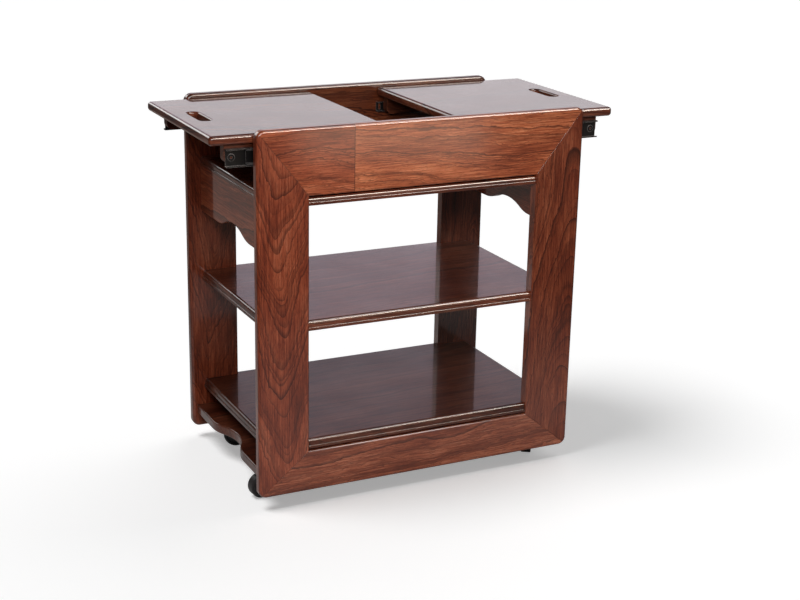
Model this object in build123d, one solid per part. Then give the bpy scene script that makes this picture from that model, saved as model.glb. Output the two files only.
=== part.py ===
from build123d import *
from math import atan, cos, sin
import os

os.makedirs("parts", exist_ok=True)

# A square rolling stand of moulded boards. Two mitred end frames carry shelves between them, and
# two leaves slide apart over the top to open a compartment for albums.
# Units are mm. The origin is on the ground, midway between the frames; the front faces -Y.

# ---- driving sizes ----
WIDTH = 720                  # over the frames, left to right
HALF_DEPTH = 218             # middle to the front frame's outer face
FRAME_THICK = 22
FRAME_HEIGHT = 750
GROUND_GAP = 28              # ground to the bottom of the frames
STILE = 107                  # width of the upright frame boards
TOP_RAIL = 133
BOTTOM_RAIL = 87
CORNER_ROUND = 17            # the frames' outer corners, seen from the front
EDGE_ROUND = 6               # the frames' outer edges
ARRIS = 1.5                  # small easing of the frames' inner edges
MITRE_GROOVE = 0.7           # radius of the fine groove along each mitre
GROOVE_START, GROOVE_END = 0.1, 0.98    # shares of the mitre's length, from the outer corner

BOARD = 20                   # thickness of the floor, shelves, aprons and base
FLOOR_BOTTOM = 625
FLOOR_NOSE = 16              # height of the floor's narrower front and rear edges
UPPER_SHELF_BOTTOM = 371
LOWER_SHELF_BOTTOM = 119
SHELF_HALF = 332             # half the length of the floor and shelves
NOSE_BACK = 2                # how far each front edge sits back from the frame's face
JOINT_GAP = 0.3              # dry gap beside a fitted edge
LIP = 7                      # height of the proud strip under a moulded edge
LIP_STEP = 2.2               # how far that strip stands out
BEAD_ROUND = 7               # rounding above the strip

APRON_FACE = 331             # middle to an apron's outer face
APRON_BOTTOM = 524
ARCH_HALF = 95               # half the width of every cut-out arch
ARCH_RISE = 20               # its height in an apron
SCALLOP_DEPTH = 24           # its depth in the base board
ARCH_SHARE = 0.58            # share of the half width taken by the middle arc
ARCH_EDGE_ROUND = 3

CASTER_HEIGHT = 60
BASE_HALF = 350              # half the length of the base board

LEAF_WIDTH = 363.5
LEAF_DEPTH = 390
LEAF_THICK = 19
LEAF_DROP = 9                # leaf top below the top of the frames
LEAF_ROUND = 7
LEAF_CORNER = 7
LEAF_OVERHANG = 4            # how far a closed leaf stands out past the frames
LEAF_OPEN = 80               # how far each leaf is slid out from closed
SLOT_LENGTH = 98             # hand slot
SLOT_WIDTH = 23
SLOT_IN = 48                 # slot centre from the leaf's outer edge
SLOT_BACK = 4                # slot centre behind the middle
SLOT_ROUND = 4

SLIDE_THICK = 12.7           # drawer slides, three members each
SLIDE_LENGTH = 250
SLIDE_MID_Z = 725
SLIDE_START = 80             # inner end of the fixed member, from the middle
SHEET = 1.2                  # slide sheet metal
CLEAT_THICK = 20
CLEAT_BOTTOM = 713
CLEAT_OUT = 32               # cleat's outer end in from the leaf's outer edge
CLEAT_IN = 12                # cleat's inner end in from the leaf's inner edge
CLEAT_ROUND = 12

CASTER_X = 305
CASTER_Y = 143
WHEEL_R = 25
WHEEL_WIDTH = 22
TRAIL = 25                   # wheel axle behind the swivel axis
AXLE_R = 3
RUNNING = 0.05               # radial clearance of a turning fit
BODY_GAP = 0.3               # clearance between parts that move past each other
HEADINGS = {                 # degrees, the way each wheel trails from its swivel
    "front_left": 185,
    "rear_left": 325,
    "front_right": 238,
    "rear_right": 70,
}

# ---- sizes that follow ----
HALF_WIDTH = WIDTH / 2
INNER_Y = HALF_DEPTH - FRAME_THICK
FRAME_TOP = GROUND_GAP + FRAME_HEIGHT
OPENING_HALF = HALF_WIDTH - STILE
OPENING_TOP = FRAME_TOP - TOP_RAIL
OPENING_BOTTOM = GROUND_GAP + BOTTOM_RAIL
LEAF_TOP = FRAME_TOP - LEAF_DROP
LEAF_BOTTOM = LEAF_TOP - LEAF_THICK
LEAF_OUTER = HALF_WIDTH + LEAF_OVERHANG + LEAF_OPEN
LEAF_INNER = LEAF_OUTER - LEAF_WIDTH
SIDES = {"left": -1, "right": 1}
ENDS = {"front": -1, "rear": 1}


def facing_front(y):
    """The drawing plane at depth y: its x is +X, its y is +Z, and it faces -Y."""
    return Plane(origin=(0, y, 0), x_dir=(1, 0, 0), z_dir=(0, -1, 0))


def facing_right(x):
    """The drawing plane at x: its x is +Y, its y is +Z, and it faces +X."""
    return Plane(origin=(x, 0, 0), x_dir=(0, 1, 0), z_dir=(1, 0, 0))


def block(x_range, y_range, z_range):
    """A box between pairs of limits."""
    sizes = [high - low for low, high in (x_range, y_range, z_range)]
    middle = [(high + low) / 2 for low, high in (x_range, y_range, z_range)]
    return Pos(*middle) * Box(*sizes)


def rod(start, end, radius):
    """A round bar between two points."""
    span = Vector(*end) - Vector(*start)
    plane = Plane(origin=start, z_dir=span)
    return extrude(plane * Circle(radius), span.length)


def flip(shape, side, end):
    """A right, front piece moved to another side or end by mirroring."""
    if side < 0:
        shape = mirror(shape, Plane.YZ)
    if end > 0:
        shape = mirror(shape, Plane.XZ)
    return shape


def save(node, shape):
    """Write one node; a group of solids is written as one compound."""
    if isinstance(shape, (list, tuple)):
        shape = Compound(children=[Compound(item.solids()) for item in shape])
    shape.label = node
    export_step(shape, f"parts/{node}.step")


# ---- dowels: they pin every board's corners into the frames ----
DOWEL_R = 4
DOWEL_IN_FRAME = 13
DOWEL_IN_BOARD = 27
DOWEL_X = 292
APRON_DOWELS = (560, 602)
GLUE = 0.05

board_middles = [
    FLOOR_BOTTOM + FLOOR_NOSE / 2,
    UPPER_SHELF_BOTTOM + BOARD / 2,
    LOWER_SHELF_BOTTOM + BOARD / 2,
    CASTER_HEIGHT + BOARD / 2,
]
dowel_spots = [(DOWEL_X, z) for z in board_middles]
dowel_spots += [(APRON_FACE - BOARD / 2, z) for z in APRON_DOWELS]


def dowels(radius):
    pins = []
    for x, z in dowel_spots:
        pin = rod((x, -INNER_Y - DOWEL_IN_FRAME, z), (x, -INNER_Y + DOWEL_IN_BOARD, z), radius)
        pins += [flip(pin, side, end) for side in SIDES.values() for end in ENDS.values()]
    return pins


dowel_holes = Compound(children=dowels(DOWEL_R + GLUE))
save("shelf_dowels", dowels(DOWEL_R))

# ---- slide cross-sections, measured from the frame's inner face (u) and the slide's middle ----
RAIL_HALF_HEIGHT = 10.4
RAIL_DEPTH = 8
MIDDLE_HALF_HEIGHT = 13.8
MIDDLE_OPEN = 2.4            # open edge of the middle member
MIDDLE_BACK = 10             # its web's far face
LEAF_MEMBER_HALF = 17.5
LEAF_MEMBER_OPEN = 2
CURL = 1.4                   # height of the leaf member's turned-in lips


def slab(u_range, v_range):
    """A rectangle in a slide's cross-section."""
    u_low, u_high = u_range
    v_low, v_high = v_range
    centre = Pos(-INNER_Y + (u_low + u_high) / 2, SLIDE_MID_Z + (v_low + v_high) / 2)
    return centre * Rectangle(u_high - u_low, v_high - v_low)


def both(u_range, v_range):
    """The same rectangle above and below the middle."""
    low, high = v_range
    return slab(u_range, (low, high)) + slab(u_range, (-high, -low))


def channel(web, tip, half_height):
    """Web with two flanges reaching to tip."""
    flange = (min(web[0], tip), max(web[1], tip))
    return slab(web, (-half_height, half_height)) + both(flange, (half_height - SHEET, half_height))


def along_x(section, start, end):
    return extrude(facing_right(start) * section, end - start)


# ---- screws ----
SCREW_R = 1.75
HEAD_R = 3.4
RAIL_SCREWS_AT = (110, 205, 300)
LEAF_SCREWS_AT = (190, 270, 350)
RAIL_HEAD = 1.6
LEAF_HEAD = 0.8
LEAF_SCREW_BITE = 12
SCREW_BITE = 13              # how deep a slide's screw hole goes into the wood

WEB_FACE = SLIDE_THICK - SHEET
CLEAT_FACE = INNER_Y - SLIDE_THICK


def slide_screw(x, seat, tip, head):
    """A pan-head screw across a slide, seated on a web at depth seat."""
    y_seat = -INNER_Y + seat
    shank = rod((x, -INNER_Y + tip, SLIDE_MID_Z), (x, y_seat, SLIDE_MID_Z), SCREW_R)
    outward = -head if tip > seat else head
    return shank + rod((x, y_seat, SLIDE_MID_Z), (x, y_seat + outward, SLIDE_MID_Z), HEAD_R)


def slide_hole(x, start, tip):
    ends = [(x, -INNER_Y + u, SLIDE_MID_Z) for u in (start, tip)]
    return rod(*ends, SCREW_R + GLUE)


rail_screw_holes = [slide_hole(x, SHEET, -SCREW_BITE) for x in RAIL_SCREWS_AT]
all_rail_holes = Compound(children=[
    flip(hole, side, end) for hole in rail_screw_holes
    for side in SIDES.values() for end in ENDS.values()])
save("rail_slide_screws", [
    flip(slide_screw(x, SHEET, -SCREW_BITE, RAIL_HEAD), side, end)
    for x in RAIL_SCREWS_AT for side in SIDES.values() for end in ENDS.values()])

# ---- end frames: one rounded slab with an opening, cut along its mitres into four boards ----
frame_mid = GROUND_GAP + FRAME_HEIGHT / 2
slab_face = Pos(0, frame_mid) * RectangleRounded(WIDTH, FRAME_HEIGHT, CORNER_ROUND)
frame_slab = extrude(facing_front(-INNER_Y) * slab_face, FRAME_THICK)
frame_slab = fillet(frame_slab.faces().filter_by(Axis.Y).edges(), EDGE_ROUND)
frame_slab -= block((-OPENING_HALF, OPENING_HALF), (-HALF_DEPTH, -INNER_Y), (OPENING_BOTTOM, OPENING_TOP))
front_face = frame_slab.faces().sort_by(Axis.Y)[0]
frame_slab = chamfer(front_face.inner_wires()[0].edges(), ARRIS)

outer = {(x, z): (x * HALF_WIDTH, FRAME_TOP if z > 0 else GROUND_GAP) for x in (-1, 1) for z in (-1, 1)}
inner = {(x, z): (x * OPENING_HALF, OPENING_TOP if z > 0 else OPENING_BOTTOM)
         for x in (-1, 1) for z in (-1, 1)}
for corner in outer:
    mitre = Edge.make_line(*[(x, -HALF_DEPTH, z) for x, z in (outer[corner], inner[corner])])
    frame_slab -= rod(tuple(mitre @ GROOVE_START), tuple(mitre @ GROOVE_END), MITRE_GROOVE)
frame_boards = {
    "left_stile": ((-1, -1), (-1, 1)),
    "right_stile": ((1, -1), (1, 1)),
    "top_rail": ((-1, 1), (1, 1)),
    "bottom_rail": ((-1, -1), (1, -1)),
}
for name, (first, last) in frame_boards.items():
    corners = [outer[first], inner[first], inner[last], outer[last]]
    region = extrude(facing_front(-INNER_Y) * Polygon(*corners, align=None), FRAME_THICK, both=True)
    board = frame_slab & region
    for end_name, end in ENDS.items():
        placed = flip(board, 1, end)
        save(f"{end_name}_{name}", placed - dowel_holes - all_rail_holes)


# ---- floor and shelves ----
def moulded(half_width, height):
    """Cross-section of a board whose two edges have a rounded bead over a proud lip."""
    upper = Pos(0, height / 2) * Rectangle(2 * (half_width - LIP_STEP), height)
    upper = fillet(upper.vertices().group_by(Axis.Y)[-1], BEAD_ROUND)
    lower = Pos(0, LIP / 2) * Rectangle(2 * half_width, LIP)
    lip_corners = (lower + upper).vertices().filter_by(lambda v: abs(v.X) > half_width - ARRIS / 2)
    return fillet(lip_corners, ARRIS)


def moulded_board(bottom, nose_thick=BOARD):
    """A board moulded at both ends, with noses reaching into the frame openings."""
    section = Pos(0, bottom) * moulded(SHELF_HALF, BOARD)
    body = extrude(facing_front(INNER_Y) * section, 2 * INNER_Y)
    nose_section = Pos(0, bottom) * moulded(HALF_DEPTH - NOSE_BACK, nose_thick)
    nose_half = OPENING_HALF - JOINT_GAP
    nose = extrude(facing_right(-nose_half) * nose_section, 2 * nose_half)
    return body + nose - dowel_holes


save("compartment_floor", moulded_board(FLOOR_BOTTOM, FLOOR_NOSE))
save("upper_shelf", moulded_board(UPPER_SHELF_BOTTOM))
save("lower_shelf", moulded_board(LOWER_SHELF_BOTTOM))


# ---- aprons and base board, each with an ogee arch cut into its edge ----
def arch(rise):
    """The arch above a base line: a middle arc that turns smoothly into two level ends."""
    turn = 2 * atan(rise / ARCH_HALF)
    middle_r = ARCH_SHARE * ARCH_HALF / sin(turn)
    end_r = (1 - ARCH_SHARE) * ARCH_HALF / sin(turn)
    bend = (middle_r * sin(turn), rise - middle_r * (1 - cos(turn)))
    end_mid = (ARCH_HALF - end_r * sin(turn / 2), end_r * (1 - cos(turn / 2)))
    mirrored = [(-x, y) for x, y in (bend, end_mid)]
    middle = ThreePointArc(mirrored[0], (0, rise), bend)
    right_arc = ThreePointArc(bend, end_mid, (ARCH_HALF, 0))
    left_arc = ThreePointArc((-ARCH_HALF, 0), mirrored[1], mirrored[0])
    return make_face(Curve() + [left_arc, middle, right_arc, Line((ARCH_HALF, 0), (-ARCH_HALF, 0))])


apron = block((APRON_FACE - BOARD, APRON_FACE), (-INNER_Y, INNER_Y), (APRON_BOTTOM, FLOOR_BOTTOM))
arch_face = facing_right(APRON_FACE - BOARD) * Pos(0, APRON_BOTTOM) * arch(ARCH_RISE)
apron -= extrude(arch_face, BOARD)
apron_mid = APRON_FACE - BOARD / 2
low_edges = apron.edges().filter_by(lambda e: e.center().Z < APRON_BOTTOM + ARCH_RISE + 1)
low_edges = low_edges.filter_by(lambda e: abs(e.center().X - apron_mid) > 1)
apron = fillet(low_edges.filter_by(lambda e: abs(e.center().Y) < INNER_Y - 1), ARCH_EDGE_ROUND)
for side_name, side in SIDES.items():
    save(f"{side_name}_top_apron", flip(apron, side, -1) - dowel_holes)

CASTER_SCREW_X = 22
CASTER_SCREW_Y = 17
CASTER_SCREW_R = 2
CASTER_SCREW_HEAD_R = 4
CASTER_SCREW_HEAD = 2
CASTER_SCREW_LENGTH = 14
PLATE_THICK = 2.5

caster_spots = {
    f"{end_name}_{side_name}": (side * CASTER_X, end * CASTER_Y)
    for end_name, end in ENDS.items() for side_name, side in SIDES.items()}
caster_screw_spots = [
    (x + dx * CASTER_SCREW_X, y + dy * CASTER_SCREW_Y)
    for x, y in caster_spots.values() for dx in (-1, 1) for dy in (-1, 1)]


def caster_pins(radius):
    low = CASTER_HEIGHT - PLATE_THICK
    high = CASTER_HEIGHT + CASTER_SCREW_LENGTH
    return [rod((x, y, low), (x, y, high), radius) for x, y in caster_screw_spots]


caster_holes = Compound(children=caster_pins(CASTER_SCREW_R + GLUE))
base = block((-BASE_HALF, BASE_HALF), (-INNER_Y, INNER_Y), (CASTER_HEIGHT, CASTER_HEIGHT + BOARD))
scallop = extrude(Plane(origin=(BASE_HALF, 0, CASTER_HEIGHT), x_dir=(0, 1, 0), z_dir=(0, 0, 1))
                  * arch(SCALLOP_DEPTH), BOARD)
base -= scallop
base -= mirror(scallop, Plane.YZ)
base_mid = CASTER_HEIGHT + BOARD / 2
end_edges = base.edges().filter_by(lambda e: abs(e.center().X) > CASTER_X)
base = fillet(end_edges.filter_by(lambda e: abs(e.center().Z - base_mid) > 1), ARCH_EDGE_ROUND)
save("base_board", base - dowel_holes - caster_holes)
save("caster_screws", [
    pin + rod((x, y, CASTER_HEIGHT - PLATE_THICK), (x, y, CASTER_HEIGHT - PLATE_THICK - CASTER_SCREW_HEAD),
              CASTER_SCREW_HEAD_R)
    for pin, (x, y) in zip(caster_pins(CASTER_SCREW_R), caster_screw_spots)])

# ---- leaves, cleats and their screws ----
leaf_middle = (LEAF_OUTER + LEAF_INNER) / 2
leaf_outline = RectangleRounded(LEAF_WIDTH, LEAF_DEPTH, LEAF_CORNER)
leaf = extrude(Pos(leaf_middle, 0, LEAF_BOTTOM) * leaf_outline, LEAF_THICK)
leaf = fillet(leaf.faces().filter_by(Axis.Z).edges(), LEAF_ROUND)
slot_spot = Pos(LEAF_OUTER - SLOT_IN, SLOT_BACK, LEAF_BOTTOM) * Rot(0, 0, 90)
leaf -= extrude(slot_spot * SlotOverall(SLOT_LENGTH, SLOT_WIDTH), LEAF_THICK)
slot_edges = [wire.edges() for face in leaf.faces().filter_by(Axis.Z) for wire in face.inner_wires()]
leaf = fillet([edge for group in slot_edges for edge in group], SLOT_ROUND)

CLEAT_SCREWS_AT = (115, 230, 320)
CLEAT_SCREW_R = 2
CLEAT_SCREW_HEAD_R = 3.8
CLEAT_SCREW_HEAD = 2
COUNTERBORE_R = 4.5
COUNTERBORE = 20
CLEAT_SCREW_IN_LEAF = 12
CLEAT_SCREW_TIP = LEAF_BOTTOM + CLEAT_SCREW_IN_LEAF
cleat_y = -CLEAT_FACE + CLEAT_THICK / 2
head_z = CLEAT_BOTTOM + COUNTERBORE

cleat_start = LEAF_INNER + CLEAT_IN
cleat_end = LEAF_OUTER - CLEAT_OUT
cleat_depth = (-CLEAT_FACE, -CLEAT_FACE + CLEAT_THICK)
cleat = block((cleat_start, cleat_end), cleat_depth, (CLEAT_BOTTOM, LEAF_BOTTOM))
cleat = fillet(cleat.edges().filter_by(Axis.Y).group_by(Axis.Z)[0], CLEAT_ROUND)
for x in CLEAT_SCREWS_AT:
    cleat -= rod((x, cleat_y, CLEAT_BOTTOM), (x, cleat_y, head_z), COUNTERBORE_R)
    cleat -= rod((x, cleat_y, head_z), (x, cleat_y, LEAF_BOTTOM), CLEAT_SCREW_R + GLUE)
for x in LEAF_SCREWS_AT:
    cleat -= slide_hole(x, SLIDE_THICK, SLIDE_THICK + SCREW_BITE)


def cleat_screw(x):
    head = rod((x, cleat_y, head_z - CLEAT_SCREW_HEAD), (x, cleat_y, head_z), CLEAT_SCREW_HEAD_R)
    return head + rod((x, cleat_y, head_z), (x, cleat_y, CLEAT_SCREW_TIP), CLEAT_SCREW_R)


for x in CLEAT_SCREWS_AT:
    leaf_hole = rod((x, cleat_y, LEAF_BOTTOM), (x, cleat_y, CLEAT_SCREW_TIP), CLEAT_SCREW_R + GLUE)
    for end in ENDS.values():
        leaf -= flip(leaf_hole, 1, end)

for side_name, side in SIDES.items():
    save(f"{side_name}_leaf", flip(leaf, side, -1))
    save(f"{side_name}_cleat_screws", [
        flip(cleat_screw(x), side, end) for x in CLEAT_SCREWS_AT for end in ENDS.values()])
    save(f"{side_name}_slide_screws", [
        flip(slide_screw(x, WEB_FACE, SLIDE_THICK + LEAF_SCREW_BITE, LEAF_HEAD), side, end)
        for x in LEAF_SCREWS_AT for end in ENDS.values()])

# ---- slides ----
STOP_RING_R = 7
STOP_HOLE_R = 2.5
STOP_IN = 12                 # ring centre from the leaf member's outer end
STOP_PROUD = 0.9
SLOT_HOLE_IN = 8             # tall slot near the rail member's inner end
SLOT_HOLE_LENGTH = 14
SLOT_HOLE_WIDTH = 4.5
CAGE_LENGTH = 80
CAGE_STRIP = 0.8
BALLS = 6

middle_start = SLIDE_START + LEAF_OPEN / 2
leaf_member_start = SLIDE_START + LEAF_OPEN

rail_section = channel((0, SHEET), RAIL_DEPTH, RAIL_HALF_HEIGHT)
rail_member = along_x(rail_section, SLIDE_START, SLIDE_START + SLIDE_LENGTH)
for hole in rail_screw_holes:
    rail_member -= hole
slot_place = Pos(SLIDE_START + SLOT_HOLE_IN, SLIDE_MID_Z) * Rot(0, 0, 90)
rail_slot = slot_place * SlotOverall(SLOT_HOLE_LENGTH, SLOT_HOLE_WIDTH)
rail_member -= extrude(facing_front(-INNER_Y) * rail_slot, SHEET, both=True)

middle_section = channel((MIDDLE_BACK - SHEET, MIDDLE_BACK), MIDDLE_OPEN, MIDDLE_HALF_HEIGHT)
middle_member = along_x(middle_section, middle_start, middle_start + SLIDE_LENGTH)

leaf_section = channel((WEB_FACE, SLIDE_THICK), LEAF_MEMBER_OPEN, LEAF_MEMBER_HALF)
lip_top = LEAF_MEMBER_HALF - SHEET
leaf_section += both((LEAF_MEMBER_OPEN, LEAF_MEMBER_OPEN + SHEET), (lip_top - CURL, lip_top))
leaf_member = along_x(leaf_section, leaf_member_start, leaf_member_start + SLIDE_LENGTH)
ring_x = leaf_member_start + SLIDE_LENGTH - STOP_IN
ring_back = -INNER_Y + WEB_FACE
ring_face = ring_back - STOP_PROUD
leaf_member += rod((ring_x, ring_back, SLIDE_MID_Z), (ring_x, ring_face, SLIDE_MID_Z), STOP_RING_R)
leaf_member -= rod((ring_x, ring_face, SLIDE_MID_Z), (ring_x, -CLEAT_FACE, SLIDE_MID_Z), STOP_HOLE_R)
for x in LEAF_SCREWS_AT:
    leaf_member -= slide_hole(x, WEB_FACE, SLIDE_THICK)


def cage(start, u_range, centre_v, ball_r):
    """Two strips of caged balls, above and below the slide's middle."""
    v_range = (centre_v - CAGE_STRIP / 2, centre_v + CAGE_STRIP / 2)
    strip = along_x(slab(u_range, v_range), start, start + CAGE_LENGTH)
    pitch = CAGE_LENGTH / BALLS
    ball_u = sum(u_range) / 2
    for number in range(BALLS):
        spot = Pos(start + (number + 0.5) * pitch, -INNER_Y + ball_u, SLIDE_MID_Z + centre_v)
        strip += spot * Sphere(ball_r)
    return [strip, mirror(strip, Plane.XY.offset(SLIDE_MID_Z))]


INNER_CAGE = (3, 7)          # depths the inner balls' strip spans
INNER_CAGE_IN = 10           # its start from the middle member's inner end
INNER_BALL_V = 11.55
INNER_BALL_R = 0.75
OUTER_CAGE = (4, 8)
OUTER_CAGE_IN = 20           # its finish from the middle member's outer end
OUTER_BALL_V = 15.0
OUTER_BALL_R = 1.0
outer_start = middle_start + SLIDE_LENGTH - CAGE_LENGTH - OUTER_CAGE_IN
cages = cage(middle_start + INNER_CAGE_IN, INNER_CAGE, INNER_BALL_V, INNER_BALL_R)
cages += cage(outer_start, OUTER_CAGE, OUTER_BALL_V, OUTER_BALL_R)

for side_name, side in SIDES.items():
    for end_name, end in ENDS.items():
        label = f"{side_name}_{end_name}"
        save(f"{label}_cleat", flip(cleat, side, end))
        save(f"{label}_rail_member", flip(rail_member, side, end))
        save(f"{label}_middle_member", flip(middle_member, side, end))
        save(f"{label}_leaf_member", flip(leaf_member, side, end))
        save(f"{label}_ball_cages", [flip(item, side, end) for item in cages])

# ---- casters, drawn about the swivel axis with the wheel trailing along +X ----
PLATE_X = 60
PLATE_Y = 50
PLATE_CORNER = 7
RACE_R = 14
CROWN_TOP = 54
CROWN_THICK = 2.5
KINGPIN_R = 4
KINGPIN_HEAD_R = 6
KINGPIN_HEAD = 2.2
CHEEK = 2                    # thickness of a fork cheek
CHEEK_GAP = 0.8              # wheel side to cheek
BOSS_R = 7
AXLE_HEAD = 1.8
AXLE_HEAD_R = 5
CROWN_FRONT = -15
CROWN_BACK = 23
CROWN_CORNER = 3
TREAD_ROUND = 2.5
HUB_R = 9
RIM_R = 19
DISH = 3

crown_low = CROWN_TOP - CROWN_THICK
cheek_in = WHEEL_WIDTH / 2 + CHEEK_GAP
cheek_out = cheek_in + CHEEK
race_low = CROWN_TOP + BODY_GAP
plate_low = CASTER_HEIGHT - PLATE_THICK

plate = extrude(Pos(0, 0, plate_low) * RectangleRounded(PLATE_X, PLATE_Y, PLATE_CORNER), PLATE_THICK)
plate += rod((0, 0, race_low), (0, 0, plate_low), RACE_R)
head_top = crown_low - BODY_GAP
plate += rod((0, 0, head_top - KINGPIN_HEAD), (0, 0, race_low), KINGPIN_R)
plate += rod((0, 0, head_top - KINGPIN_HEAD), (0, 0, head_top), KINGPIN_HEAD_R)

crown_length = CROWN_BACK - CROWN_FRONT
crown_mid = (CROWN_FRONT + CROWN_BACK) / 2
crown_shape = Pos(crown_mid, 0, crown_low) * Rectangle(crown_length, 2 * cheek_out)
crown_shape = fillet(crown_shape.vertices(), CROWN_CORNER)
fork = extrude(crown_shape, CROWN_THICK)
crown_strip = Pos(crown_mid, CROWN_TOP - CROWN_THICK / 2)
crown_strip = crown_strip * Rectangle(crown_length - 2 * CROWN_CORNER, CROWN_THICK)
boss = Pos(TRAIL, WHEEL_R) * Circle(BOSS_R)
cheek_face = make_hull(crown_strip.edges() + boss.edges())
for edge_y in (-cheek_in, cheek_out):
    fork += extrude(facing_front(edge_y) * cheek_face, CHEEK)
fork -= rod((0, 0, crown_low), (0, 0, CROWN_TOP), KINGPIN_R + RUNNING)
fork -= rod((TRAIL, -cheek_out, WHEEL_R), (TRAIL, cheek_out, WHEEL_R), AXLE_R + RUNNING)

axle = rod((TRAIL, -cheek_out, WHEEL_R), (TRAIL, cheek_out, WHEEL_R), AXLE_R)
for way in (-1, 1):
    ends = [(TRAIL, way * y, WHEEL_R) for y in (cheek_out, cheek_out + AXLE_HEAD)]
    axle += rod(*ends, AXLE_HEAD_R)

half_wheel = WHEEL_WIDTH / 2
wheel = rod((TRAIL, -half_wheel, WHEEL_R), (TRAIL, half_wheel, WHEEL_R), WHEEL_R)
wheel = fillet(wheel.edges().filter_by(GeomType.CIRCLE), TREAD_ROUND)
for way in (-1, 1):
    ends = [(TRAIL, way * y, WHEEL_R) for y in (half_wheel - DISH, half_wheel)]
    wheel -= rod(*ends, RIM_R) - rod(*ends, HUB_R)
wheel -= rod((TRAIL, -half_wheel, WHEEL_R), (TRAIL, half_wheel, WHEEL_R), AXLE_R + RUNNING)

for label, (x, y) in caster_spots.items():
    trailing = Pos(x, y, 0) * Rot(0, 0, HEADINGS[label])
    save(f"{label}_caster_plate", Pos(x, y, 0) * plate - caster_holes)
    save(f"{label}_caster_fork", trailing * fork)
    save(f"{label}_caster_axle", trailing * axle)
    save(f"{label}_caster_wheel", trailing * wheel)
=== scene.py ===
from math import cos, pi, radians, sin

import bpy
from mathutils import Matrix, Vector

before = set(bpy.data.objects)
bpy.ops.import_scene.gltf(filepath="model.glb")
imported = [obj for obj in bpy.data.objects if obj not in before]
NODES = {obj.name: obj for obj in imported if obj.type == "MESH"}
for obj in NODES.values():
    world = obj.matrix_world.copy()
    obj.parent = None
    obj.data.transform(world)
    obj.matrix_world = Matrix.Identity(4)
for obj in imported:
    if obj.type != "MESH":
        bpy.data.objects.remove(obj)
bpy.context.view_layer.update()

SIDES = {"left": -1, "right": 1}
ENDS = {"front": -1, "rear": 1}


# ---------------------------------------------------------------- materials
BEVEL_SAMPLES = 4
EDGE_AGREEMENT = 0.93       # cosine between the true and the rounded normal where an edge counts as full
BUMP_DISTANCE = 0.00006     # metres


class Graph:
    """A material's node graph, with short ways to add and join nodes."""

    def __init__(self, name):
        self.material = bpy.data.materials.new(name)
        self.material.use_nodes = True
        self.tree = self.material.node_tree
        self.tree.nodes.clear()
        self.output = self.add("ShaderNodeOutputMaterial")
        self.shader = self.add("ShaderNodeBsdfPrincipled")
        self.join(self.shader.outputs[0], self.output.inputs["Surface"])

    def add(self, kind, settings=None, **inputs):
        """A new node with these settings, its inputs fed with numbers or joined to sockets."""
        node = self.tree.nodes.new(kind)
        for key, value in (settings or {}).items():
            setattr(node, key, value)
        for key, value in inputs.items():
            self.feed(node.inputs[key.replace("_", " ")], value)
        return node

    def join(self, source, target):
        self.tree.links.new(source, target)

    def feed(self, socket, value):
        """Join value to the socket if it is a socket too, and set it there otherwise."""
        if isinstance(value, bpy.types.NodeSocket):
            self.join(value, socket)
        else:
            socket.default_value = value

    def math(self, operation, *values):
        node = self.add("ShaderNodeMath", {"operation": operation})
        for socket, value in zip(node.inputs, values):
            self.feed(socket, value)
        return node.outputs[0]

    def vector(self, operation, first, second):
        node = self.add("ShaderNodeVectorMath", {"operation": operation})
        self.feed(node.inputs[0], first)
        self.feed(node.inputs[1], second)
        return node.outputs["Value" if operation in ("LENGTH", "DOT_PRODUCT") else "Vector"]

    def noise(self, place, scale, detail=3.0, roughness=0.5, dimensions="3D"):
        """Smooth noise, mostly between 0.2 and 0.8."""
        node = self.add("ShaderNodeTexNoise", {"noise_dimensions": dimensions})
        self.feed(node.inputs["W" if dimensions == "1D" else "Vector"], place)
        node.inputs["Scale"].default_value = scale
        node.inputs["Detail"].default_value = detail
        node.inputs["Roughness"].default_value = roughness
        return node.outputs["Fac"]

    def ramp(self, value, stops):
        """A colour for each value, from (position, colour) stops."""
        node = self.add("ShaderNodeValToRGB")
        elements = node.color_ramp.elements
        while len(elements) < len(stops):
            elements.new(0.5)
        for element, (position, color) in zip(elements, stops):
            element.position = position
            element.color = (*color, 1)
        self.feed(node.inputs[0], value)
        return node.outputs[0]

    def spread(self, value, low, high, new_low, new_high):
        """The value moved from the range low to high onto new_low to new_high, and held inside it."""
        node = self.add("ShaderNodeMapRange")
        for socket, number in zip(node.inputs, (value, low, high, new_low, new_high)):
            self.feed(socket, number)
        return node.outputs[0]

    def blend(self, mode, factor, first, second):
        node = self.add("ShaderNodeMix", {"data_type": "RGBA", "blend_type": mode})
        self.feed(node.inputs["Factor"], factor)
        self.feed(node.inputs[6], first)
        self.feed(node.inputs[7], second)
        return node.outputs[2]

    def edge(self, width):
        """How near a sharp edge the surface is, from 0 on the flat to 1 at the edge."""
        rounded = self.add("ShaderNodeBevel", {"samples": BEVEL_SAMPLES}, Radius=width).outputs[0]
        straight = self.add("ShaderNodeNewGeometry").outputs["Normal"]
        agreement = self.vector("DOT_PRODUCT", rounded, straight)
        return self.spread(agreement, 1.0, EDGE_AGREEMENT, 0.0, 1.0)

    def bump(self, height, strength=1.0):
        node = self.add("ShaderNodeBump")
        node.inputs["Strength"].default_value = strength
        node.inputs["Distance"].default_value = BUMP_DISTANCE
        self.feed(node.inputs["Height"], height)
        return node.outputs[0]


# Rosewood colours, from the dark ring lines to the light figure.
DARK = (0.036, 0.0095, 0.0055)
DEEP = (0.110, 0.0260, 0.0120)
RED = (0.200, 0.0500, 0.0220)
WARM = (0.300, 0.0920, 0.0430)
PALE = (0.420, 0.1650, 0.0900)
SHORT_END = (0.82, 0.74, 0.76)      # tint of the shorter length in a made-up board

# Shifts that make boards differ, in metres along the grain and in rings.
SEED_ALONG = 3.7
SEED_RINGS = 0.37
JOINT_ALONG = 5.3

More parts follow.
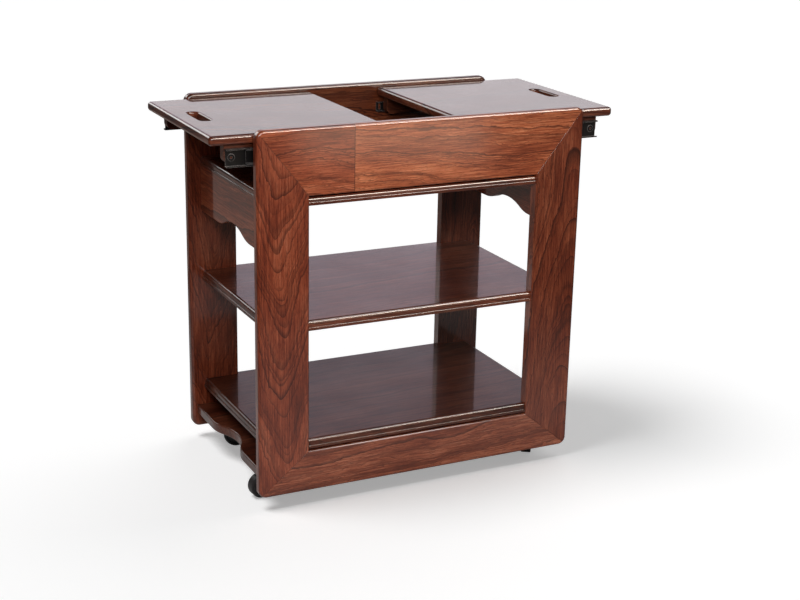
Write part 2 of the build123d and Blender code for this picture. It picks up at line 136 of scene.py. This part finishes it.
# Waver of the growth rings: length along the grain, width over it, noise detail, and reach either way.
WAVER = (
    (0.22, 0.12, 1.0, 0.016),
    (0.050, 0.030, 2.0, 0.0038),
    (0.016, 0.006, 2.0, 0.0016),
)
UNEVEN_RINGS = 1.1          # how many rings the spacing drifts either way
LINE_SHARPNESS = 2.4
LINE_STRENGTH = 0.88
SEAM_HALF = 0.0011          # half the width of the seam at a joint
SEAM_STRENGTH = 0.6
WOOD_EDGE = 0.003           # how far in from an edge the wood is rubbed and given a painted shade
# How dark the painted shade on the rounded edges is: it stands in for the dark band those edges show as
# they turn away from the light.
EDGE_PAINTED_SHADE = 0.3
RUBBED_STRENGTH = 0.5
WOOD_SPECULAR = 0.1


def ring_radius(g, parts, axes, heart, taper, stretched):
    """How far out in the tree the surface lies, from a wavering heart line and with the taper along it."""
    grain, across, third = axes
    waves = [g.spread(g.noise(stretched(length, width), 1.0, detail), 0.25, 0.75, -reach, reach)
             for length, width, detail, reach in WAVER]
    wobble = g.math("ADD", g.math("ADD", waves[0], waves[1]), waves[2])
    offset = g.math("SUBTRACT", g.math("ADD", parts[across], wobble), heart[0])
    depth = g.math("ADD", parts[third], heart[1])
    squares = g.math("ADD", g.math("MULTIPLY", offset, offset), g.math("MULTIPLY", depth, depth))
    return g.math("MULTIPLY_ADD", parts[grain], taper, g.math("SQRT", squares))


def ring_lines(g, radius, spacing, seed):
    """The dark end of each ring: 0 between the lines, and up to 1 on the boldest of them."""
    count = g.math("ADD", g.math("DIVIDE", radius, spacing), seed * SEED_RINGS)
    uneven = g.spread(g.noise(count, 0.55, 2.0, 0.5, "1D"), 0.2, 0.8, -UNEVEN_RINGS, UNEVEN_RINGS)
    count = g.math("ADD", count, uneven)
    phase = g.math("FRACT", count)
    ring = g.math("FLOOR", count)
    boldness = g.spread(g.noise(ring, 0.83, 0.0, 0.5, "1D"), 0.30, 0.70, 0.35, 1.0)
    late = g.math("POWER", g.spread(phase, 0.20, 0.97, 0.0, 1.0), LINE_SHARPNESS)
    return g.math("MULTIPLY", late, boldness)


def wood_tone(g, radius, spacing, stretched, fibre):
    """The light and dark of the wood between its ring lines, as a colour."""
    rings_wide = g.math("DIVIDE", radius, spacing * 5)
    band = g.spread(g.noise(rings_wide, 1.0, 2.0, 0.5, "1D"), 0.3, 0.7, 0.0, 1.0)
    cloud = g.spread(g.noise(stretched(0.16, 0.045), 1.0, 2.0), 0.3, 0.7, 0.0, 1.0)
    tone = g.math("ADD", g.math("MULTIPLY", band, 0.40), g.math("MULTIPLY", cloud, 0.40))
    tone = g.math("ADD", tone, g.spread(fibre, 0.30, 0.70, -0.26, 0.46))
    return g.ramp(tone, [(0.05, DEEP), (0.38, RED), (0.66, WARM), (1.0, PALE)])


def lacquer(g, place, fibre, pores, coat, gloss):
    """The wood's own weak shine under a clear coat, with the pores and a slow unevenness in the surface."""
    smear = g.noise(place, 9.0, 3.0)
    g.join(g.spread(smear, 0.3, 0.7, 0.34, 0.46), g.shader.inputs["Roughness"])
    g.shader.inputs["Specular IOR Level"].default_value = WOOD_SPECULAR
    g.shader.inputs["Coat Weight"].default_value = coat
    g.shader.inputs["Coat Roughness"].default_value = gloss
    g.join(g.bump(g.math("SUBTRACT", fibre, pores)), g.shader.inputs["Normal"])
    g.join(g.bump(g.noise(place, 70.0, 2.0), 0.5), g.shader.inputs["Coat Normal"])


def rosewood(name, grain, across, heart, taper, seed, spacing=0.010, tint=(1, 1, 1), gloss=0.06, coat=0.9,
             joint=None):
    """Lacquered rosewood. grain and across are axis numbers: along the fibres, and over the board's face.

    The growth rings are cones about a heart line. heart gives where that line runs across the face and how
    far it lies below zero on the third axis, and taper how fast the cones narrow, so a face shows nested
    arches over the heart and long wavy lines beside it. spacing is the usual width of a ring. joint is the
    place along the grain where a board of two lengths is joined.
    """
    g = Graph(name)
    place = g.add("ShaderNodeTexCoord").outputs["Object"]
    parts = g.add("ShaderNodeSeparateXYZ", Vector=place).outputs
    third = 3 - grain - across
    along = g.math("ADD", parts[grain], seed * SEED_ALONG)
    if joint is not None:
        beyond = g.math("LESS_THAN", parts[grain], joint)
        along = g.math("MULTIPLY_ADD", beyond, JOINT_ALONG, along)

    def stretched(length, width):
        """Noise coordinates that change once in length along the grain and once in width over it."""
        spot = g.add("ShaderNodeCombineXYZ", X=g.math("DIVIDE", along, length),
                     Y=g.math("DIVIDE", parts[across], width), Z=g.math("DIVIDE", parts[third], width))
        return spot.outputs[0]

    radius = ring_radius(g, parts, (grain, across, third), heart, taper, stretched)
    line = ring_lines(g, radius, spacing, seed)
    fibre = g.noise(stretched(0.060, 0.0026), 1.0, 3.0, 0.65)
    pores = g.spread(g.noise(stretched(0.009, 0.0007), 1.0, 1.0), 0.58, 0.70, 0.0, 0.75)
    color = wood_tone(g, radius, spacing, stretched, fibre)
    color = g.blend("MIX", g.math("MULTIPLY", line, LINE_STRENGTH), color, (*DARK, 1))
    color = g.blend("MIX", pores, color, (*DARK, 1))
    color = g.blend("MULTIPLY", 1.0, color, (*tint, 1))
    if joint is not None:
        color = g.blend("MULTIPLY", beyond, color, (*SHORT_END, 1))
        seam = g.math("COMPARE", parts[grain], joint, SEAM_HALF)
        color = g.blend("MIX", g.math("MULTIPLY", seam, SEAM_STRENGTH), color, (*DARK, 1))
    edge = g.edge(WOOD_EDGE)
    rubbed = g.math("MULTIPLY", edge, g.spread(g.noise(place, 24.0, 3.0), 0.52, 0.66, 0.0, 1.0))
    # Painted shade on the rounded edges.
    color = g.blend("MIX", g.math("MULTIPLY", edge, EDGE_PAINTED_SHADE), color, (*DARK, 1))
    color = g.blend("MIX", g.math("MULTIPLY", rubbed, RUBBED_STRENGTH), color, (*WARM, 1))
    g.join(color, g.shader.inputs["Base Color"])
    lacquer(g, place, fibre, pores, coat, gloss)
    return g.material


HARD_EDGE = 0.0011          # how far in from an edge a plain surface takes its wear_and_glint colour
FINE_TEXTURE = 400.0        # noise scale of its fine texture


def plain(name, color, roughness, wear_and_glint, metallic=0.0, coat=0.0):
    """Metal, paint, nylon or bare wood, with colour drift, uneven gloss and edges rubbed to the
    wear_and_glint colour, which is wear and, on the black steel, also a painted highlight.
    """
    g = Graph(name)
    place = g.add("ShaderNodeTexCoord").outputs["Object"]
    drift = g.noise(place, 18.0, 3.0)
    lighter = tuple(min(1.0, channel * 1.35 + 0.004) for channel in color)
    darker = tuple(channel * 0.7 for channel in color)
    wear = g.spread(g.noise(place, 60.0, 3.0), 0.35, 0.60, 0.3, 1.0)
    # rubbed also carries the painted highlight on the black steel's edges.
    rubbed = g.math("MULTIPLY", g.edge(HARD_EDGE), wear)
    skin = g.ramp(drift, [(0.35, darker), (0.65, lighter)])
    g.join(g.blend("MIX", rubbed, skin, (*wear_and_glint, 1)), g.shader.inputs["Base Color"])
    g.join(g.spread(g.noise(place, 45.0, 3.0), 0.3, 0.7, roughness * 0.8, roughness * 1.2),
           g.shader.inputs["Roughness"])
    g.shader.inputs["Metallic"].default_value = metallic
    g.shader.inputs["Coat Weight"].default_value = coat
    g.join(g.bump(g.noise(place, FINE_TEXTURE, 3.0)), g.shader.inputs["Normal"])
    return g.material


X, Y, Z = 0, 1, 2


def paint(node, material):
    """Give a CAD node one material."""
    slots = NODES[node].data.materials
    slots.clear()
    slots.append(material)


# Tints of the boards.
ORANGE = (1.55, 1.32, 1.08)
BROWN = (0.52, 0.43, 0.42)
LEAF_BROWN = (0.55, 0.46, 0.45)
APRON_TINT = (1.15, 0.90, 0.80)
CLEAT_TINT = (0.35, 0.32, 0.32)

# ------------------------------ end frames
FRAME_FACE = 0.218          # middle of the stand to a frame's outer face
FRAME_GLOSS = 0.13
RAIL_JOINT = -0.158         # where the two lengths of the front top rail meet
# Painted shade: how much darker each board of the rear frame is made than its twin in front, standing in
# for the shade that falls on the rear frame inside the stand.
REAR_PAINTED_SHADE = {"left_stile": 0.75, "right_stile": 0.75, "top_rail": 0.36, "bottom_rail": 0.80}

# Axis of the grain, axis across the face, where the heart runs across the face and how far it is from the
# outer face, taper, ring spacing and tint.
FRAME_WOOD = {
    "left_stile": (Z, X, (-0.308, 0.026), -0.30, 0.0115, (0.92, 0.65, 0.57)),
    "right_stile": (Z, X, (0.345, 0.040), 0.16, 0.0080, (0.78, 0.56, 0.47)),
    "top_rail": (X, Z, (0.560, 0.160), 0.05, 0.0080, ORANGE),
    "bottom_rail": (X, Z, (0.200, 0.200), 0.04, 0.0070, (1.05, 0.92, 0.90)),
}
seed = 1
for end_name, end in ENDS.items():
    for board, (grain, across, heart, taper, spacing, tint) in FRAME_WOOD.items():
        seed += 1
        joint = RAIL_JOINT if (end_name, board) == ("front", "top_rail") else None
        # The rear boards get this painted shade on top of their tint.
        painted_shade = 1.0 if end_name == "front" else REAR_PAINTED_SHADE[board]
        tint_and_shade = tuple(painted_shade * channel for channel in tint)
        heart = (heart[0], heart[1] - end * FRAME_FACE)
        wood = rosewood(f"{end_name}_{board}_wood", grain, across, heart, taper, seed, spacing=spacing,
                        tint=tint_and_shade, gloss=FRAME_GLOSS, joint=joint)
        paint(f"{end_name}_{board}", wood)

# ------------------------------ shelves, leaves, aprons
SHELF_COAT = {"compartment_floor": 1.0, "upper_shelf": 0.8, "lower_shelf": 0.5, "base_board": 0.7}
# Painted shade: the lower shelf is a darker copy of the shelf wood, standing in for the shade under the
# upper shelf.
LOWER_SHELF_PAINTED_SHADE = 0.65
WIDE_RINGS = 0.012
for board, coat in SHELF_COAT.items():
    seed += 1
    # The lower shelf's tint carries the painted shade.
    tint_and_shade = tuple(LOWER_SHELF_PAINTED_SHADE * channel for channel in BROWN) if board == "lower_shelf" else BROWN
    shelf_wood = rosewood(f"{board}_wood", X, Y, heart=(0.35, 0.20), taper=0.05, seed=seed,
                          spacing=WIDE_RINGS, tint=tint_and_shade, coat=coat)
    paint(board, shelf_wood)
for side_name, side in SIDES.items():
    seed += 1
    leaf_wood = rosewood(f"{side_name}_leaf_wood", X, Y, heart=(side * 0.30, 0.35), taper=0.06, seed=seed,
                         spacing=WIDE_RINGS, tint=LEAF_BROWN, coat=1.0)
    paint(f"{side_name}_leaf", leaf_wood)
    apron_wood = rosewood(f"{side_name}_apron_wood", Y, Z, heart=(0.48, 0.20), taper=0.05, seed=seed,
                          tint=APRON_TINT)
    paint(f"{side_name}_top_apron", apron_wood)

# ------------------------------ cleats, slides, screws, casters, dowels
# The black steel's light edge colour is part wear and part painted highlight, standing in for the glints on
# the slides' edges in the leaves' shade.
black_steel = plain("black_steel", (0.012, 0.011, 0.011), roughness=0.32, wear_and_glint=(0.40, 0.37, 0.36),
                    metallic=0.6, coat=0.2)
zinc = plain("zinc", (0.55, 0.56, 0.58), roughness=0.3, wear_and_glint=(0.75, 0.75, 0.75), metallic=1.0)
black_paint = plain("black_paint", (0.012, 0.012, 0.012), roughness=0.3, wear_and_glint=(0.06, 0.06, 0.06), coat=0.3)
nylon = plain("nylon", (0.006, 0.005, 0.005), roughness=0.42, wear_and_glint=(0.03, 0.03, 0.03))
beech = plain("beech", (0.45, 0.30, 0.16), roughness=0.6, wear_and_glint=(0.30, 0.20, 0.11))
cleat_wood = rosewood("cleat_wood", X, Z, heart=(0.66, 0.20), taper=0.03, seed=31, spacing=0.008,
                      tint=CLEAT_TINT, gloss=0.25, coat=0.3)
for name in NODES:
    if name.endswith("cleat"):
        paint(name, cleat_wood)
    elif "screws" in name or name.endswith("ball_cages") or name.endswith("axle"):
        paint(name, zinc)
    elif name.endswith("member"):
        paint(name, black_steel)
    elif name.endswith("wheel"):
        paint(name, nylon)
    elif "caster" in name:
        paint(name, black_paint)
    elif name == "shelf_dowels":
        paint(name, beech)


# ---------------------------------------------------------------- floor, light, camera
FLOOR_SIZE = 400
FLOOR_WHITE = (0.90, 0.90, 0.90, 1)
FLOOR_GLOW = 0.35           # how much the floor shines where the camera sees it
FADE_FROM = 0.6             # the unseen floor is NEAR_FLOOR up to this distance from the stand's middle
FADE_TO = 1.6               # and FAR_FLOOR from this one on
FADE_SPAN = 2.0             # the distance that counts as 1 in its colour ramp
NEAR_FLOOR = (0.75, 0.73, 0.72)
FAR_FLOOR = (0.08, 0.08, 0.08)


def studio_floor():
    """A square floor centred under the stand."""
    mesh = bpy.data.meshes.new("floor")
    half = FLOOR_SIZE / 2
    corners = [(x * half, y * half, 0) for x, y in ((-1, -1), (1, -1), (1, 1), (-1, 1))]
    mesh.from_pydata(corners, [], [(0, 1, 2, 3)])
    obj = bpy.data.objects.new("floor", mesh)
    bpy.context.collection.objects.link(obj)
    return obj


floor = studio_floor()
# The camera sees a white floor. Every other ray sees one that darkens away from the stand, so that the
# lacquer does not mirror a bright floor.
floor_look = Graph("floor_look")
seen = floor_look.add("ShaderNodeLightPath").outputs["Is Camera Ray"]
reach = floor_look.vector("LENGTH", floor_look.add("ShaderNodeTexCoord").outputs["Object"], (0, 0, 0))
fade = floor_look.math("DIVIDE", reach, FADE_SPAN)
unseen = floor_look.ramp(fade, [(FADE_FROM / FADE_SPAN, NEAR_FLOOR), (FADE_TO / FADE_SPAN, FAR_FLOOR)])
floor_look.join(floor_look.blend("MIX", seen, unseen, FLOOR_WHITE), floor_look.shader.inputs["Base Color"])
floor_look.shader.inputs["Roughness"].default_value = 0.9
floor_look.shader.inputs["Specular IOR Level"].default_value = 0.0
floor_look.shader.inputs["Emission Color"].default_value = (1, 1, 1, 1)
glow = floor_look.math("MULTIPLY", seen, FLOOR_GLOW)
floor_look.join(glow, floor_look.shader.inputs["Emission Strength"])
floor.data.materials.append(floor_look.material)


def receivers(name, state):
    """A collection that says whether the lamps using it light only the floor or all but the floor."""
    group = bpy.data.collections.new(name)
    group.objects.link(floor)
    group.collection_objects[0].light_linking.link_state = state
    return group


only_floor = receivers("only_floor", "INCLUDE")
all_but_floor = receivers("all_but_floor", "EXCLUDE")


def place_light(name, kind, energy):
    """A new lamp that the camera does not see, and its object."""
    lamp = bpy.data.lights.new(name, kind)
    lamp.energy = energy
    obj = bpy.data.objects.new(name, lamp)
    obj.visible_camera = False
    bpy.context.collection.objects.link(obj)
    return lamp, obj


def soft_box(name, place, aim, size, glow, color=(1, 1, 1), sheen_only=False):
    """A soft box at place, facing aim, that leaves the floor alone.

    glow is how bright its face is. A box for the sheen only is mirrored in glossy surfaces but adds no
    diffuse light.
    """
    lamp, obj = place_light(name, "AREA", glow * pi * size[0] * size[1])
    lamp.shape = "RECTANGLE"
    lamp.size, lamp.size_y = size
    lamp.color = color
    obj.location = place
    obj.rotation_euler = (Vector(aim) - Vector(place)).to_track_quat("-Z", "Y").to_euler()
    obj.light_linking.receiver_collection = all_but_floor
    obj.visible_diffuse = not sheen_only


def soft_sun(name, toward, strength, spread):
    """A wide sun, spread in degrees, that comes from toward and lights only the floor."""
    lamp, obj = place_light(name, "SUN", strength)
    lamp.angle = radians(spread)
    obj.light_linking.receiver_collection = only_floor
    obj.rotation_euler = (-Vector(toward)).to_track_quat("-Z", "Y").to_euler()


# Name, place, aim, size, glow and colour of each soft box.
soft_box("key", (-0.75, -2.00, 1.65), (0, -0.2, 0.55), (1.5, 0.6), 16)
soft_box("overhead", (1.2, -0.9, 2.9), (0, -0.1, 0.6), (1.3, 1.2), 10, sheen_only=True)
soft_box("front_high", (1.05, -1.97, 2.08), (0, -0.2, 0.65), (2.0, 0.4), 50, (1.0, 0.88, 0.76),
         sheen_only=True)
soft_box("low_right", (0.80, -2.03, 0.40), (0, -0.2, 0.77), (0.62, 0.28), 3.3, (1.0, 0.78, 0.60),
         sheen_only=True)
soft_box("low_left", (-1.0, 1.35, 0.12), (-0.36, 0, 0.45), (1.5, 0.6), 0.24, (1.0, 0.72, 0.62),
         sheen_only=True)
soft_box("backdrop_low", (6.0, 11.6, 2.6), (0, 0, 0.9), (12.0, 2.6), 0.98, (1.0, 0.94, 0.98),
         sheen_only=True)
soft_box("backdrop_high", (6.0, 11.6, 5.0), (0, 0, 0.9), (12.0, 2.2), 0.72, (1.0, 0.80, 0.95),
         sheen_only=True)
soft_box("rear_fill", (-1.3, 3.0, 2.0), (0, 0.2, 0.5), (1.6, 1.2), 3.2)
soft_sun("high_sun", (-0.45, 0.10, 1.0), 1.75, 28)
soft_sun("side_sun", (0.60, 0.35, 0.9), 0.60, 50)

# The camera sees a white world, and everything else is lit by a dim one.
WORLD_LIGHT = 0.10
world = bpy.data.worlds.new("studio")
world.use_nodes = True
tree = world.node_tree
dim = tree.nodes.new("ShaderNodeBackground")
paper = tree.nodes.new("ShaderNodeBackground")
either = tree.nodes.new("ShaderNodeMixShader")
dim.inputs["Strength"].default_value = WORLD_LIGHT
paper.inputs["Color"].default_value = (1, 1, 1, 1)
path = tree.nodes.new("ShaderNodeLightPath")
tree.links.new(path.outputs["Is Camera Ray"], either.inputs[0])
tree.links.new(dim.outputs[0], either.inputs[1])
tree.links.new(paper.outputs[0], either.inputs[2])
tree.links.new(either.outputs[0], tree.nodes["World Output"].inputs["Surface"])
bpy.context.scene.world = world

CAMERA_PLACE = (-1.336, -2.805, 1.340)
CAMERA_LENS = 67.7
CAMERA_TURN = radians(26.344)
CAMERA_DIP = radians(17.817)
CAMERA_ROLL = radians(-1.2)
CAMERA_FAR = 200


def camera_axes(turn, dip, roll):
    """Right, up and backward directions of a camera turned from +Y towards +X, dipped down and rolled."""
    forward = Vector((sin(turn) * cos(dip), cos(turn) * cos(dip), -sin(dip)))
    level = Vector((cos(turn), -sin(turn), 0))
    down = forward.cross(level)
    right = cos(roll) * level + sin(roll) * down
    below = -sin(roll) * level + cos(roll) * down
    return right, -below, -forward


lens = bpy.data.cameras.new("camera")
lens.lens = CAMERA_LENS
lens.clip_end = CAMERA_FAR
camera = bpy.data.objects.new("camera", lens)
turned = Matrix(camera_axes(CAMERA_TURN, CAMERA_DIP, CAMERA_ROLL)).transposed().to_4x4()
camera.matrix_world = Matrix.Translation(CAMERA_PLACE) @ turned
bpy.context.collection.objects.link(camera)
bpy.context.scene.camera = camera
bpy.context.scene.view_settings.view_transform = "Standard"
